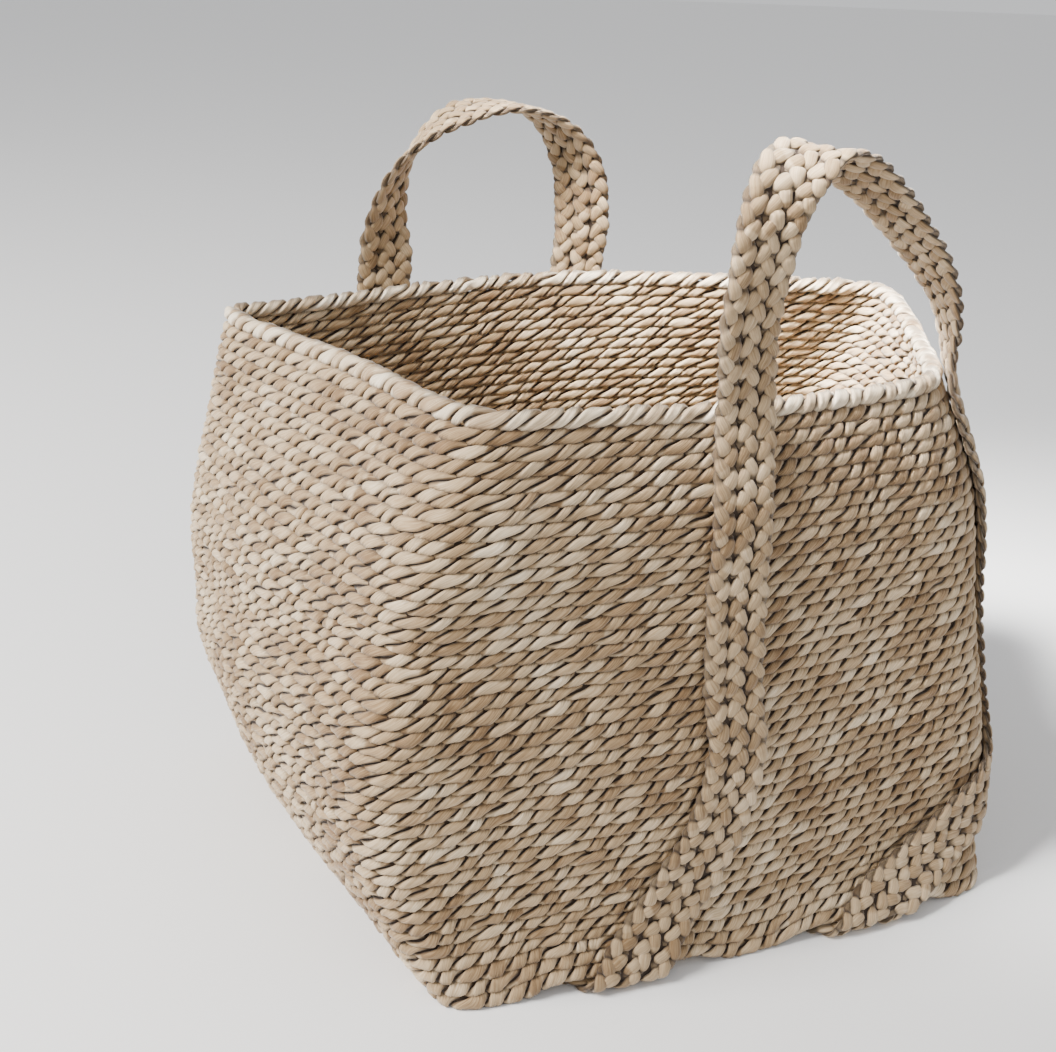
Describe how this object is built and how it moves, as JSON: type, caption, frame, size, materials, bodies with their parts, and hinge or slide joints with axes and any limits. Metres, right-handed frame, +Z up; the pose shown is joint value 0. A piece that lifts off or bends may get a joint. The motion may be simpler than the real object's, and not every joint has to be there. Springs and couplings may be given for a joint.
{
  "type": "storage basket",
  "caption": "Soft woven storage basket of coiled plant-fibre cord, with two flat braided carry handles that flop over the rim.",
  "frame": {"origin": "on the floor, below the middle of the whole object's box", "axes": "+Z up; X runs along the two handle faces and is the longest side; the near handle face looks towards -Y"},
  "size_m": [0.6, 0.4836, 0.5858],
  "materials": {
    "woven_cord": "two-ply twisted plant fibre, matt with a faint sheen",
    "rim_cord": "thicker and paler twisted cord",
    "base_cord": "coiled cord mat, matt",
    "braided_strap": "flat braid of fibre strands, matt with a faint sheen"
  },
  "bodies": {
    "root": {"base_mat": "base_cord", "wall_course_01": "woven_cord", "wall_course_02": "woven_cord", "wall_course_03": "woven_cord", "wall_course_04": "woven_cord", "wall_course_05": "woven_cord", "wall_course_06": "woven_cord", "wall_course_07": "woven_cord", "wall_course_08": "woven_cord", "wall_course_09": "woven_cord", "wall_course_10": "woven_cord", "wall_course_11": "woven_cord", "wall_course_12": "woven_cord", "wall_course_13": "woven_cord", "wall_course_14": "woven_cord", "wall_course_15": "woven_cord", "wall_course_16": "woven_cord", "wall_course_17": "woven_cord", "wall_course_18": "woven_cord", "wall_course_19": "woven_cord", "wall_course_20": "woven_cord", "wall_course_21": "woven_cord", "wall_course_22": "woven_cord", "wall_course_23": "woven_cord", "wall_course_24": "woven_cord", "wall_course_25": "woven_cord", "wall_course_26": "woven_cord", "wall_course_27": "woven_cord", "wall_course_28": "woven_cord", "wall_course_29": "woven_cord", "wall_course_30": "woven_cord", "wall_course_31": "woven_cord", "wall_course_32": "woven_cord", "wall_course_33": "woven_cord", "wall_course_34": "woven_cord", "wall_course_35": "woven_cord", "wall_course_36": "woven_cord", "wall_course_37": "woven_cord", "wall_course_38": "woven_cord", "wall_course_39": "woven_cord", "wall_course_40": "woven_cord", "wall_course_41": "woven_cord", "wall_course_42": "woven_cord", "rim_cord": "rim_cord", "near_strap_left": "braided_strap", "near_strap_right": "braided_strap", "far_strap_left": "braided_strap", "far_strap_right": "braided_strap"},
    "near_loop": {"near_handle": "braided_strap"},
    "far_loop": {"far_handle": "braided_strap"}
  },
  "joints": [
    {"name": "near_handle_flop", "type": "hinge", "parent": "root", "child": "near_loop", "pos_m": [0.01377, -0.16423, 0.42161], "axis": [0.9594, 0.2819, 0], "range_deg": [-30, 50]},
    {"name": "far_handle_flop", "type": "hinge", "parent": "root", "child": "far_loop", "pos_m": [0.05761, 0.20818, 0.41522], "axis": [-0.9999, 0.0149, 0], "range_deg": [-70, 100]}
  ]
}
